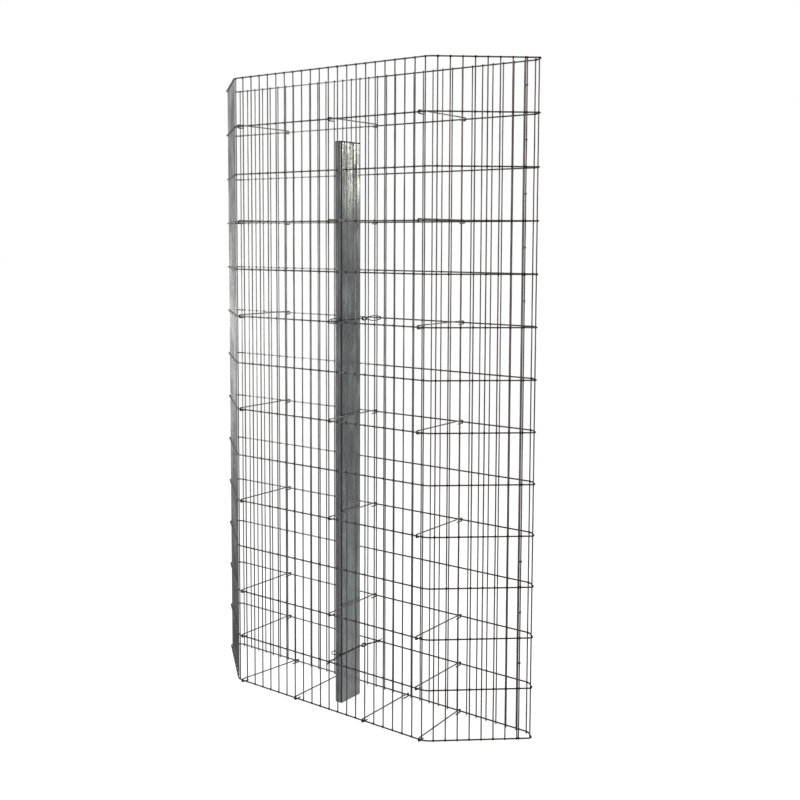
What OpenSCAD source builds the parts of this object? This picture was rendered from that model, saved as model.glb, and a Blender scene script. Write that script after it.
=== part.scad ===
// Gabion wall cage: one strip of welded mesh, folded to a closed basket and tied at a seam,
// held to its depth by hooked wire spacers, with a steel post tied to it inside.
// Millimetres. X runs along the wall, +Y is the back and +Z is up. The origin lies on the
// ground, in the middle of the cage.

/* [Mesh] */
// Spacing of the upright wires, before what is left over is shared out
upright_pitch = 35; // [25:1:50]
// Diameter of the upright wires
upright_d = 4; // [3:0.5:5]
// Spacing of the level wires
row_pitch = 150; // [100:5:180]
// Spaces between the lowest and the highest level wire
row_spaces = 13; // [13:1:16]
// Diameter of the level wires
level_d = 4.5; // [3:0.5:6]
// How far the wire at the sharp right fold stands past the middle of that fold
fold_wire_shift = 1; // [0:0.1:2]
// How far two wires are pressed into each other at a weld
weld_sink = 0.7; // [0.4:0.1:1]
// Upright wire left above the highest level wire
top_stub = 3.5; // [3:0.5:20]
// Upright wire left below the lowest level wire
foot_stub = 4.5; // [3:0.5:30]

/* [Plan] */
// Length of the front side between its two folds
front_length = 745; // [500:5:1500]
// Depth from the front side to the back side
wall_depth = 225; // [200:5:400]
// Angle of the slanted ends to the line of the wall
end_angle = 40.3; // [35:0.1:70]
// Depth of the small facets at the back corners
facet_depth = 25; // [20:1:40]
// Angle of these facets to the line of the wall
facet_angle = 45; // [35:1:60]
// Radius of the folds at the front
front_fold_r = 42; // [20:1:60]
// Radius of the sharp folds at the ends
end_fold_r = 6; // [5:1:8]
// Radius of the soft folds at the back
back_fold_r = 20; // [10:1:25]

/* [Seam] */
// Free width between the two upright wires that meet at the seam
seam_clearance = 0.6; // [0.3:0.1:2]
// Wire diameter of the seam ties
seam_tie_d = 2; // [1.5:0.5:3]

/* [Spacers] */
// Wire diameter of the spacers
spacer_d = 4; // [3:0.5:5]
// Length of the tail behind each hook
hook_tail = 22; // [10:1:40]
// Free width between a hook and the wire in it
hook_clearance = 0.2; // [0.1:0.1:0.5]
// Distance of the left spacers from the left front fold
spacer_left_inset = 17.5; // [12:0.5:120]
// Place of the middle spacers along the wall
spacer_middle_x = 16; // [10:1:60]
// Distance of the right spacers from the right front fold
spacer_right_inset = 29.5; // [22:0.5:120]
// Place of the spacer between left and middle on the lowest row
spacer_foot_left_x = -125; // [-200:1:-60]
// Place of the spacer between middle and right on the lowest row
spacer_foot_right_x = 150; // [80:1:200]
// How far the lowest left spacer's back hook stands to the right of the others
spacer_left_lean = 33; // [0:1:40]
// How far the lowest right spacer's front hook stands to the right of the others
spacer_right_lean = 12; // [0:1:12]

/* [Post] */
// Height of the post without its cap
post_h = 1745; // [1500:1:2200]
// Size of the post across the wall
post_depth = 96; // [60:1:120]
// Size of the post along the wall
post_w = 27; // [20:1:40]
// Wall of the post
post_t = 3; // [2:0.5:4]
// Outer radius of its corners
post_bend_r = 5; // [4.5:0.5:8]
// Thickness of the cap on the post
cap_t = 4; // [2:0.5:6]
// Length of the cap's skirt inside the post
cap_skirt = 15; // [8:1:30]
// Wall of that skirt
cap_wall = 2; // [1.5:0.5:3]
// Free width between the skirt and the post
cap_clearance = 0.2; // [0.1:0.1:0.4]
// Place of the post along the wall
post_x = -5.5; // [-8:0.5:0]
// Wire diameter of the ties that hold the post
post_tie_d = 3; // [2:0.5:4]
// Diameter of the knots on these ties
knot_d = 12; // [12:0.5:16]
// Place of the front ends of these ties along the wall
post_tie_front_x = 16; // [0:1:40]
// Place of the back ends of these ties along the wall
post_tie_back_x = 31; // [0:1:60]

/* [Hidden] */
// Wires are drawn as bars of six sides with the section area of a round wire
wire_sides = 6;
round_fn = 32;
// Wires are a little thicker in a fold, where the straight stretches reach into it
fold_swell = 0.05;
fold_lap = 0.5;
wire_color = "#6b6b6c";
spacer_color = "#5f6061";
post_color = "#6e7473";
cap_color = "#1d1e1f";
function bar_r(d) = d / 2 * sqrt(2 * PI / (wire_sides * sin(360 / wire_sides)));
function bar_flat(d) = 2 * bar_r(d) * cos(180 / wire_sides);

// Plan of the upright wires' centre line, counter-clockwise from the right end's front fold
half_depth = wall_depth / 2;
front_fold = [front_length / 2, -half_depth];
end_rise = wall_depth - facet_depth;
end_fold = front_fold + [end_rise / tan(end_angle), end_rise];
back_fold = [end_fold.x - facet_depth / tan(facet_angle), half_depth];
facet_turn = 180 - facet_angle;
// Each corner is its place, the heading before it, the heading after it and its radius
corners = [
    [end_fold, end_angle, facet_turn, end_fold_r],
    [back_fold, facet_turn, 180, back_fold_r],
    [[-back_fold.x, back_fold.y], 180, 180 + facet_angle, back_fold_r],
    [[-end_fold.x, end_fold.y], 180 + facet_angle, 360 - end_angle, end_fold_r],
    [[-front_fold.x, front_fold.y], 360 - end_angle, 360, front_fold_r],
    [front_fold, 360, 360 + end_angle, front_fold_r]
];
corner_count = len(corners);
function heading(a) = [cos(a), sin(a)];
function outward(a) = [sin(a), -cos(a)];
function tangent_length(c) = c[3] * tan((c[2] - c[1]) / 2);
function arc_length(c) = c[3] * (c[2] - c[1]) * PI / 180;
function before(i) = corners[(i + corner_count - 1) % corner_count];
function flat_start(i) = before(i)[0] + tangent_length(before(i)) * heading(before(i)[2]);
function flat_length(i) =
    norm(corners[i][0] - before(i)[0]) - tangent_length(before(i)) - tangent_length(corners[i]);
// Flat i runs up to corner i; flat_u and arc_u are where flat i and arc i start on the strip
function flat_u(i) =
    i == 0 ? 0 : flat_u(i - 1) + flat_length(i - 1) + arc_length(corners[i - 1]);
function arc_u(i) = flat_u(i) + flat_length(i);
function arc_end_u(i) = arc_u(i) + arc_length(corners[i]);
loop_length = arc_end_u(corner_count - 1);

// Upright wires, evenly spread along the strip from one side of the seam to the other
seam_gap = 2 * bar_r(upright_d) + seam_clearance;
wire_count = round((loop_length - seam_gap) / upright_pitch);
wire_step = (loop_length - seam_gap) / wire_count;
first_wire_u = arc_u(0) + arc_length(corners[0]) / 2 - wire_step + fold_wire_shift;
last_wire_u = first_wire_u + wire_count * wire_step;
seam_stub = seam_gap / 2 - seam_clearance / 2;
function wire_u(k) = first_wire_u + k * wire_step;
function gap_before(u) = wire_u(floor((u - first_wire_u) / wire_step - 0.5) + 0.5);
function gap_after(u) = wire_u(ceil((u - first_wire_u) / wire_step - 0.5) + 0.5);

// Level wires lie outside the upright wires
level_offset = (bar_flat(upright_d) + bar_flat(level_d)) / 2 - weld_sink;
level_y = half_depth + level_offset;
function hook_r(d) = bar_r(level_d) + hook_clearance + d / 2;
// The cage stands on its cut wires or on the hooks in its lowest row, whichever reach lower
lowest_row_z = max(foot_stub, hook_r(spacer_d) + spacer_d / 2);
mesh_h = foot_stub + row_spaces * row_pitch + top_stub;
function row_z(row) = lowest_row_z + (row_spaces - row) * row_pitch;

// A place on a flat of the strip: how far along flat i a wall place x is, and its nearest wire
function back_u(x) = flat_u(2) + flat_start(2).x - x;
function front_u(x) = flat_u(5) + x - flat_start(5).x;
function wire_distance(u) =
    let (steps = (u - first_wire_u) / wire_step) abs(steps - round(steps)) * wire_step;
function is_clear(u, d) = wire_distance(u) >= bar_r(upright_d) + d / 2 + hook_clearance;
function misses_post(x, d) = abs(x - post_x) >= post_w / 2 + d / 2 + hook_clearance;
search_step = 0.25;
function nearby(x) = [
    for (shift = [0 : search_step : upright_pitch]) for (side = [-1, 1]) x + side * shift
];
function front_place(x, d) = [for (place = nearby(x)) if (is_clear(front_u(place), d)) place][0];
function back_place(x, d) = [for (place = nearby(x)) if (is_clear(back_u(place), d)) place][0];
function spacer_place(x) = [
    for (place = nearby(x))
        if (is_clear(front_u(place), spacer_d) && is_clear(back_u(place), spacer_d))
            if (misses_post(place, spacer_d)) place
][0];

// Spacers: rows are counted from the top, and the lowest row has one more.
// Each is its column, its row, and the wall places of its front and its back hook
function straight(column, row, x) = let (place = spacer_place(x)) [column, row, place, place];
// A leaning spacer needs a little more room beside the upright wires
lean_room = 1;
function leaning(column, row, front_x, back_x) = [
    column,
    row,
    front_place(front_x, spacer_d + lean_room),
    back_place(back_x, spacer_d + lean_room)
];
spacer_rows = [1, 3, 5, 7, 9, 11, 12];
post_tie_rows = [5, 12];
function holds_post(row) = len([for (r = post_tie_rows) if (r == row) r]) > 0;
spacer_left_x = spacer_left_inset - front_length / 2;
spacer_right_x = front_length / 2 - spacer_right_inset;
spacers = concat(
    [for (row = spacer_rows) straight("left", row, spacer_left_x)],
    [for (row = spacer_rows) if (!holds_post(row)) straight("middle", row, spacer_middle_x)],
    [for (row = spacer_rows) straight("right", row, spacer_right_x)],
    [
        leaning("left", row_spaces, spacer_left_x, spacer_left_x + spacer_left_lean),
        straight("middle_left", row_spaces, spacer_foot_left_x),
        straight("middle_right", row_spaces, spacer_foot_right_x),
        leaning("right", row_spaces, spacer_right_x + spacer_right_lean, spacer_right_x)
    ]
);
function spacer_node(s) = str("spacer_", s[0], "_row_", s[1]);

// Seam ties sit in the middle of these spaces, counted from the top
seam_tie_spaces = [0, 1, 2, 3, 4, 9, 10, 11];
function seam_tie_node(space) = str("seam_tie_space_", space + 1);

// A straight wire of few sides from the origin along +X
module bar(d, length) {
    rotate([0, 90, 0]) cylinder(r = bar_r(d), h = length, $fn = wire_sides);
}

// The part of flat i of a level wire between two places on the strip
module level_flat(i, from_u, to_u) {
    turn = before(i)[2];
    place = flat_start(i) + (from_u - flat_u(i)) * heading(turn) + level_offset * outward(turn);
    translate([place.x, place.y, 0]) rotate(turn) bar(level_d, to_u - from_u);
}

// The fold of a level wire at corner i
module level_fold(i) {
    c = corners[i];
    centre = c[0] - tangent_length(c) * heading(c[1]) - c[3] * outward(c[1]);
    translate([centre.x, centre.y, 0]) rotate(c[1] - 90)
        rotate_extrude(angle = c[2] - c[1], $fn = round_fn)
            translate([c[3] + level_offset, 0])
                rotate(90) circle(r = bar_r(level_d) + fold_swell, $fn = wire_sides);
}

// All level wires between two places on the strip, which may run past the strip's start
module level_wires(from_u, to_u) {
    for (row = [0 : row_spaces]) translate([0, 0, row_z(row)]) {
        for (i = [0 : corner_count - 1]) {
            flat_from = max(from_u, flat_u(i) - fold_lap);
            flat_to = min(to_u, arc_u(i) + fold_lap);
            if (flat_to > flat_from) level_flat(i, flat_from, flat_to);
            if (from_u <= arc_u(i) && arc_end_u(i) <= to_u) level_fold(i);
        }
        if (to_u > loop_length) level_flat(0, max(from_u - loop_length, -fold_lap), to_u - loop_length);
    }
}

// Where upright wire u stands, and which way the strip runs there
function fold_at(u) = [for (i = [0 : corner_count - 1]) if (u > arc_u(i) && u < arc_end_u(i)) i];
function flat_at(u) = [for (i = [0 : corner_count - 1]) if (u >= flat_u(i) && u <= arc_u(i)) i];
function wire_turn(u) =
    len(fold_at(u)) > 0
        ? let (c = corners[fold_at(u)[0]]) c[1] + (u - arc_u(fold_at(u)[0])) / c[3] * 180 / PI
        : before(flat_at(u)[0])[2];
function wire_place(u) =
    len(fold_at(u)) > 0
        ? let (c = corners[fold_at(u)[0]])
            c[0] - tangent_length(c) * heading(c[1]) - c[3] * outward(c[1]) + c[3] * outward(wire_turn(u))
        : let (i = flat_at(u)[0]) flat_start(i) + (u - flat_u(i)) * heading(before(i)[2]);

// All upright wires between two places on the strip
module upright_wires(from_u, to_u) {
    for (k = [0 : wire_count]) if (wire_u(k) > from_u && wire_u(k) < to_u) {
        u = wire_u(k) > loop_length ? wire_u(k) - loop_length : wire_u(k);
        place = wire_place(u);
        translate([place.x, place.y, lowest_row_z - foot_stub]) rotate(wire_turn(u))
            cylinder(r = bar_r(upright_d), h = mesh_h, $fn = wire_sides);
    }
}

module mesh(from_u, to_u) {
    color(wire_color) union() {
        level_wires(from_u, to_u);
        upright_wires(from_u, to_u);
    }
}

// The strip is parted between two upright wires beside each fold
right_back_end = gap_after(arc_end_u(1));
back_middle = gap_before((flat_u(2) + arc_u(2)) / 2);
left_back_start = gap_before(arc_u(2));
left_back_end = gap_after(arc_end_u(3));
left_fold_start = gap_before(arc_u(4));
left_fold_end = gap_after(arc_end_u(4));
right_fold_start = gap_before(arc_u(5));
right_fold_end = gap_after(arc_end_u(5));

module right_back_corner() { mesh(first_wire_u - seam_stub, right_back_end); }
module back_mesh_right() { mesh(right_back_end, back_middle); }
module back_mesh_left() { mesh(back_middle, left_back_start); }
module left_back_corner() { mesh(left_back_start, left_back_end); }
module left_end_mesh() { mesh(left_back_end, left_fold_start); }
module left_front_fold() { mesh(left_fold_start, left_fold_end); }
module front_mesh() { mesh(left_fold_end, right_fold_start); }
module right_front_fold() { mesh(right_fold_start, right_fold_end); }
module right_end_mesh() { mesh(right_fold_end, last_wire_u + seam_stub); }

// A bent round wire in the XY plane, about the origin
module wire_bend(r, d, from_angle, angle) {
    rotate(from_angle) rotate_extrude(angle = angle, $fn = round_fn)
        translate([r, 0]) circle(d = d, $fn = round_fn);
}

module round_wire(d, length) {
    rotate([0, 90, 0]) cylinder(d = d, h = length, $fn = round_fn);
}

// A ring that draws the two upright wires at the seam together
module seam_tie(space) {
    tie_r = bar_r(upright_d) + hook_clearance + seam_tie_d / 2;
    place = wire_place(last_wire_u - loop_length);
    color(spacer_color) translate([place.x, place.y, row_z(space) - row_pitch / 2]) rotate(end_angle) {
        wire_bend(tie_r, seam_tie_d, 90, 180);
        translate([seam_gap, 0, 0]) wire_bend(tie_r, seam_tie_d, -90, 180);
        for (side = [-1, 1]) translate([0, side * tie_r, 0]) round_wire(seam_tie_d, seam_gap);
    }
}

// A hook in the YZ plane round a level wire at the origin, open towards +Y
module hook(d, tail) {
    rotate([90, 0, 90]) wire_bend(hook_r(d), d, 90, 180);
    translate([0, 0, -hook_r(d)]) rotate(90) round_wire(d, tail);
}

module spacer(row, front_x, back_x) {
    length = norm([back_x - front_x, 2 * level_y]);
    lean = atan2(front_x - back_x, 2 * level_y);
    color(spacer_color) translate([front_x, -level_y, row_z(row)]) rotate(lean) {
        translate([0, 0, hook_r(spacer_d)]) rotate(90) round_wire(spacer_d, length);
        hook(spacer_d, hook_tail);
        translate([0, length, 0]) mirror([0, 1, 0]) hook(spacer_d, hook_tail);
    }
}

// A rectangle with round corners, centred
module round_rectangle(size, r) {
    square([size.x - 2 * r, size.y], center = true);
    square([size.x, size.y - 2 * r], center = true);
    for (x = [-1, 1]) for (y = [-1, 1])
        translate([x * (size.x / 2 - r), y * (size.y / 2 - r)]) circle(r = r, $fn = round_fn);
}

// Rectangular tube, open at its foot
post_inside = [post_w - 2 * post_t, post_depth - 2 * post_t];
post_inside_r = post_bend_r - post_t;
module post() {
    color(post_color) translate([post_x, 0, 0]) linear_extrude(post_h) difference() {
        round_rectangle([post_w, post_depth], post_bend_r);
        round_rectangle(post_inside, post_inside_r);
    }
}

// Plate on the post's top with a skirt that plugs into it
module post_cap() {
    skirt = post_inside - 2 * cap_clearance * [1, 1];
    color(cap_color) translate([post_x, 0, post_h]) {
        linear_extrude(cap_t) round_rectangle([post_w, post_depth], post_bend_r);
        translate([0, 0, -cap_skirt]) linear_extrude(cap_skirt + cap_t / 2) difference() {
            round_rectangle(skirt, post_inside_r - cap_clearance);
            square(skirt - 2 * cap_wall * [1, 1], center = true);
        }
    }
}

// A wire loop round the post, drawn to the front and the back level wire by hairpins
ring_r = post_bend_r + hook_clearance + post_tie_d / 2;
ring_x = post_w / 2 - post_bend_r;
ring_y = post_depth / 2 - post_bend_r;
knot = [post_x + ring_x, ring_y] + (ring_r + knot_d / 2) * heading(45);
front_knot = [knot.x, -knot.y];
front_hook = [front_place(post_tie_front_x, post_tie_d), -level_y];
back_hook = [back_place(post_tie_back_x, post_tie_d), level_y];

module post_ring() {
    for (side = [0, 180]) rotate(side) {
        translate([ring_x, ring_y, 0]) wire_bend(ring_r, post_tie_d, 0, 90);
        translate([-ring_x, ring_y, 0]) wire_bend(ring_r, post_tie_d, 90, 90);
        translate([-ring_x, ring_y + ring_r, 0]) round_wire(post_tie_d, 2 * ring_x);
        translate([ring_x + ring_r, -ring_y, 0]) rotate(90) round_wire(post_tie_d, 2 * ring_y);
    }
}

module hairpin(from, to) {
    strand = norm(to - from);
    turn = atan2(to.y - from.y, to.x - from.x);
    translate([from.x, from.y, 0]) sphere(d = knot_d, $fn = round_fn);
    translate([to.x, to.y, 0]) rotate(turn + 90) {
        hook(post_tie_d, strand);
        translate([0, 0, hook_r(post_tie_d)]) rotate(90) round_wire(post_tie_d, strand);
    }
}

module post_tie(row) {
    color(spacer_color) translate([0, 0, row_z(row)]) {
        translate([post_x, 0, 0]) post_ring();
        hairpin(front_knot, front_hook);
        hairpin(knot, back_hook);
    }
}

module post_tie_upper() { post_tie(post_tie_rows[0]); }
module post_tie_lower() { post_tie(post_tie_rows[1]); }

right_back_corner();
back_mesh_right();
back_mesh_left();
left_back_corner();
left_end_mesh();
left_front_fold();
front_mesh();
right_front_fold();
right_end_mesh();
post();
post_cap();
post_tie_upper();
post_tie_lower();
for (space = seam_tie_spaces) seam_tie(space);
for (s = spacers) spacer(s[1], s[2], s[3]);
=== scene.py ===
# Looks of an empty gabion wall cage: welded wire mesh, hooked spacers and a tied post
import math

import bpy
from mathutils import Matrix, Vector


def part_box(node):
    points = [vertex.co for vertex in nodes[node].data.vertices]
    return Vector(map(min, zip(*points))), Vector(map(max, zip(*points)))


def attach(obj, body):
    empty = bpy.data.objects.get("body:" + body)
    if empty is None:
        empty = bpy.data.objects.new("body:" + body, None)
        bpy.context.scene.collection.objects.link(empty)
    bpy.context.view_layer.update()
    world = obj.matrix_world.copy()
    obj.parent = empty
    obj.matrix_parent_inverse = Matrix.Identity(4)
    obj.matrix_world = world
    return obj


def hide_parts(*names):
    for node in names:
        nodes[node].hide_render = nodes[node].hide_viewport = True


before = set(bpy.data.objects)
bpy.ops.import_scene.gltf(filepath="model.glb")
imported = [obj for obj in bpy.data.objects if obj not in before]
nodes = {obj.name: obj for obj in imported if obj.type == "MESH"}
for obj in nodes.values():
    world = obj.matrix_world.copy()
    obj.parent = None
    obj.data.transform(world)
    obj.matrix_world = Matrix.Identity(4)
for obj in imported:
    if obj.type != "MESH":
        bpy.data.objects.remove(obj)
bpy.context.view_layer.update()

# Sizes of the mesh strip, in metres and degrees, as the part has them
UPRIGHT_PITCH = 0.035
UPRIGHT_D = 0.004
ROW_PITCH = 0.150
ROW_SPACES = 13
LEVEL_D = 0.0045
WELD_SINK = 0.0007
FOLD_WIRE_SHIFT = 0.001
FOOT_STUB = 0.0045
TOP_STUB = 0.0035
FRONT_LENGTH = 0.745
WALL_DEPTH = 0.225
END_ANGLE = 40.3
FACET_DEPTH = 0.025
FACET_ANGLE = 45.0
FRONT_FOLD_R = 0.042
END_FOLD_R = 0.006
BACK_FOLD_R = 0.020
SEAM_CLEARANCE = 0.0006
HOOK_CLEARANCE = 0.0002
SPACER_D = 0.004
BAR_SIDES = 6

# Sizes of the finer wire work
FOLD_STEP = 5.0
WIRE_SIDES = 10
BENDS_PER_SPACE = 4
WIRE_BOW = 0.0009
BOW_WAVES = 9.0
WELD_R = 0.0032
FAINT_WELD_R = 0.0024
WELD_SEGMENTS = 8
WELD_RINGS = 5
WELD_SQUEEZE = (1.1, 0.9, 1.1)
WELD_SWELL = (0.85, 1.15)
WIRE_SEED = 7

# Post and its ties: each tie's node, its row, the bow of its strands and their twists
POST_LOW, POST_HIGH = (Vector(corner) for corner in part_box("post"))
POST_MIDDLE = (POST_LOW + POST_HIGH) / 2
POST_BEND_R = 0.005
POST_TIES = [("post_tie_upper", 5, 0.006, 0.0), ("post_tie_lower", 12, 0.0, 1.5)]
POST_TIE_D = 0.003
POST_TIE_FRONT_X = 0.016
POST_TIE_BACK_X = 0.031
HAIRPIN_STEPS = 24
HOOK_STEPS = 8
FREE_END_FOOT = 0.001
FREE_END_REACH = Vector((0.005, 0.003, 0.009))
RING_CORNER_STEPS = 6
LOOSE_REACH = 0.011
LOOSE_LIFT = 0.004
KNOT_R = 0.006
KNOT_REACH = 0.0095
KNOT_TURN_STEPS = 24
KNOT_WIDENS = (20, 28)

# Seam ties, by their space of the mesh, counted from the top
SEAM_TIE_SPACES = [0, 1, 2, 3, 4, 9, 10, 11]
SEAM_COIL_D = 0.0015
SEAM_COIL_TURNS = 3
SEAM_COIL_STEPS = 6

# Where finishes, the darkening towards the ground and the painted highlight and shade change:
# heights, places from front to back, and depths in from the post's sides
# How high and how strongly colours darken towards the ground
LOW_DARKENING_REACH = 1.2
LOW_DARKENING_STRENGTH = 0.52
UPRIGHT_SCORCH = 0.008
LEVEL_SCORCH = 0.0065
# Front hooks of the spacers, where shade is painted
SPACER_HOOK_SHADE_Y = (-0.106, -0.116)
TIE_BACK_Y = (0.067, 0.075)
TIE_FRONT_Y = (-0.058, -0.066)
TIE_BEND_Y = (0.1, 0.11)
# Heights of the painted highlight low on the post
LOW_HIGHLIGHT_HEIGHTS = (0.2, 0.85)
STAIN_HEIGHT = 0.3
# Depth of the painted shade on the post's narrow sides
NARROW_SHADE_IN = (0.0045, 0.0005)
# Depth of the painted shade at the post's front bends
POST_BEND_SHADE_IN = (0.0045, 0.0025)

# Camera, fitted to the wires of the photograph, which is 800 pixels wide
IMAGE_SIZE = 800
FOCAL_PIXELS = 1086.0
OPTICAL_CENTRE_Y = 330
CAMERA_PLACE = Vector((2.1090, -2.6065, 1.4501))
CAMERA_YAW = 0.6335
CAMERA_PITCH = 0.0822
CAMERA_ROLL = 0.0041
SENSOR_WIDTH = 36.0


# Plan of the mesh strip

def bar_r(d):
    """Corner radius of the part's six-sided bar with the area of a round wire."""
    turn = math.radians(360 / BAR_SIDES)
    return d / 2 * math.sqrt(2 * math.pi / (BAR_SIDES * math.sin(turn)))


def bar_flat(d):
    return 2 * bar_r(d) * math.cos(math.radians(180 / BAR_SIDES))


def hook_r(d):
    """Radius of a hook's centre line round a level wire."""
    return bar_r(LEVEL_D) + HOOK_CLEARANCE + d / 2


def heading(angle):
    return Vector((math.cos(math.radians(angle)), math.sin(math.radians(angle))))


def outward(angle):
    return Vector((math.sin(math.radians(angle)), -math.cos(math.radians(angle))))


class Fold:
    """A fold of the strip: its corner, the headings before and after it, and its radius."""

    def __init__(self, corner, before, after, radius):
        self.corner = Vector(corner)
        self.before = before
        self.after = after
        self.radius = radius
        self.tangent = radius * math.tan(math.radians(after - before) / 2)
        self.length = radius * math.radians(after - before)
        self.start = self.corner - self.tangent * heading(before)
        self.end = self.corner + self.tangent * heading(after)
        self.centre = self.start - radius * outward(before)


def plan_folds():
    half_depth = WALL_DEPTH / 2
    front = Vector((FRONT_LENGTH / 2, -half_depth))
    rise = WALL_DEPTH - FACET_DEPTH
    end = front + Vector((rise / math.tan(math.radians(END_ANGLE)), rise))
    back = Vector((end.x - FACET_DEPTH / math.tan(math.radians(FACET_ANGLE)), half_depth))
    facet = 180 - FACET_ANGLE
    return [
        Fold(end, END_ANGLE, facet, END_FOLD_R),
        Fold(back, facet, 180, BACK_FOLD_R),
        Fold((-back.x, back.y), 180, 180 + FACET_ANGLE, BACK_FOLD_R),
        Fold((-end.x, end.y), 180 + FACET_ANGLE, 360 - END_ANGLE, END_FOLD_R),
        Fold((-front.x, front.y), 360 - END_ANGLE, 360, FRONT_FOLD_R),
        Fold(front, 360, 360 + END_ANGLE, FRONT_FOLD_R),
    ]


FOLDS = plan_folds()
flat_starts = []
fold_starts = []
fold_ends = []
strip_length = 0.0
for number, fold in enumerate(FOLDS):
    flat_starts.append(strip_length)
    strip_length += (fold.start - FOLDS[number - 1].end).length
    fold_starts.append(strip_length)
    strip_length += fold.length
    fold_ends.append(strip_length)

seam_gap = 2 * bar_r(UPRIGHT_D) + SEAM_CLEARANCE
wire_spaces = round((strip_length - seam_gap) / UPRIGHT_PITCH)
wire_step = (strip_length - seam_gap) / wire_spaces
first_wire = fold_starts[0] + FOLDS[0].length / 2 - wire_step + FOLD_WIRE_SHIFT
last_wire = first_wire + wire_spaces * wire_step
seam_stub = (seam_gap - SEAM_CLEARANCE) / 2
level_offset = (bar_flat(UPRIGHT_D) + bar_flat(LEVEL_D)) / 2 - WELD_SINK
level_y = WALL_DEPTH / 2 + level_offset
lowest_row = max(FOOT_STUB, hook_r(SPACER_D) + SPACER_D / 2)
wire_length = FOOT_STUB + ROW_SPACES * ROW_PITCH + TOP_STUB


def row_height(row):
    """Height of a level wire; rows are counted from the top."""
    return lowest_row + (ROW_SPACES - row) * ROW_PITCH


def gap_before(place):
    return first_wire + (math.floor((place - first_wire) / wire_step - 0.5) + 0.5) * wire_step


def gap_after(place):
    return first_wire + (math.ceil((place - first_wire) / wire_step - 0.5) + 0.5) * wire_step


def strip_point(place):
    """Where a place on the strip lies in plan."""
    place = place % strip_length
    for number, fold in enumerate(FOLDS):
        if place <= fold_starts[number]:
            return FOLDS[number - 1].end + (place - flat_starts[number]) * heading(fold.before)
        if place < fold_ends[number]:
            angle = fold.before + math.degrees((place - fold_starts[number]) / fold.radius)
            return fold.centre + fold.radius * outward(angle)
    return FOLDS[-1].end.copy()


def strip_path(start, end):
    """Points in plan from one place on the strip to another, close together in the folds."""
    places = [start, end]
    for lap in (0, strip_length):
        for number, fold in enumerate(FOLDS):
            steps = math.ceil((fold.after - fold.before) / FOLD_STEP)
            for step in range(steps + 1):
                place = fold_starts[number] + fold.length * step / steps + lap
                if start < place < end:
                    places.append(place)
    return [strip_point(place) for place in sorted(places)]


# Helpers for node trees

def add(tree, kind, feeds=None, **settings):
    """Adds a node, sets it up, and feeds its inputs with links or plain values."""
    node = tree.nodes.new(kind)
    for name, value in settings.items():
        setattr(node, name, value)
    for key, feed in (feeds or {}).items():
        if isinstance(feed, bpy.types.NodeSocket):
            tree.links.new(feed, node.inputs[key])
        else:
            node.inputs[key].default_value = feed
    return node


def calc(tree, operation, first, second=0.0):
    return add(tree, "ShaderNodeMath", {0: first, 1: second}, operation=operation).outputs[0]


def calc_vector(tree, operation, first, second=(0.0, 0.0, 0.0)):
    node = add(tree, "ShaderNodeVectorMath", {0: first, 1: second}, operation=operation)
    return node.outputs["Vector"]


def scale_vector(tree, vector, factor):
    feeds = {0: vector, "Scale": factor}
    return add(tree, "ShaderNodeVectorMath", feeds, operation="SCALE").outputs["Vector"]


def spread(tree, value, low, high, to_low=0.0, to_high=1.0):
    """Maps a value smoothly from one range to another."""
    feeds = {"Value": value, "From Min": low, "From Max": high, "To Min": to_low, "To Max": to_high}
    node = add(tree, "ShaderNodeMapRange", feeds, interpolation_type="SMOOTHSTEP")
    return node.outputs["Result"]


def weigh(tree, *parts):
    """Sum of values, each given with its weight."""
    total = 0.0
    for value, weight in parts:
        total = calc(tree, "ADD", total, calc(tree, "MULTIPLY", value, weight))
    return total


def noise(tree, place, scale, **more):
    feeds = {"Vector": place, "Scale": scale, **more}
    return add(tree, "ShaderNodeTexNoise", feeds).outputs


def mix_color(tree, factor, first, second):
    feeds = {0: factor, 6: first, 7: second}
    return add(tree, "ShaderNodeMix", feeds, data_type="RGBA").outputs[2]


def opaque(color):
    return (*color, 1.0)


def new_group(kind, name, inputs, outputs):
    """A node group with named inputs, each (name, socket type, first value), and outputs."""
    tree = bpy.data.node_groups.new(name, kind)
    for label, socket_type, value in inputs:
        socket = tree.interface.new_socket(label, in_out="INPUT", socket_type=socket_type)
        if value is not None:
            socket.default_value = value
    for label, socket_type in outputs:
        tree.interface.new_socket(label, in_out="OUTPUT", socket_type=socket_type)
    return tree, tree.nodes.new("NodeGroupInput"), tree.nodes.new("NodeGroupOutput")


# Shader groups

def weld_scorch_group():
    """Mask that is 1 at each weld along a wire: Place is counted in spaces of the mesh."""
    tree, given, out = new_group(
        "ShaderNodeTree",
        "weld_scorch",
        [
            ("Place", "NodeSocketFloat", 0.0),
            ("Space", "NodeSocketFloat", 0.1),
            ("Reach", "NodeSocketFloat", 0.01),
        ],
        [("Mask", "NodeSocketFloat")],
    )
    nearest = calc(tree, "ROUND", given.outputs["Place"])
    away = calc(tree, "ABSOLUTE", calc(tree, "SUBTRACT", given.outputs["Place"], nearest))
    away = calc(tree, "MULTIPLY", away, given.outputs["Space"])
    mask = spread(tree, away, 0.0, given.outputs["Reach"], 1.0, 0.0)
    tree.links.new(mask, out.inputs["Mask"])
    return tree


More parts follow.
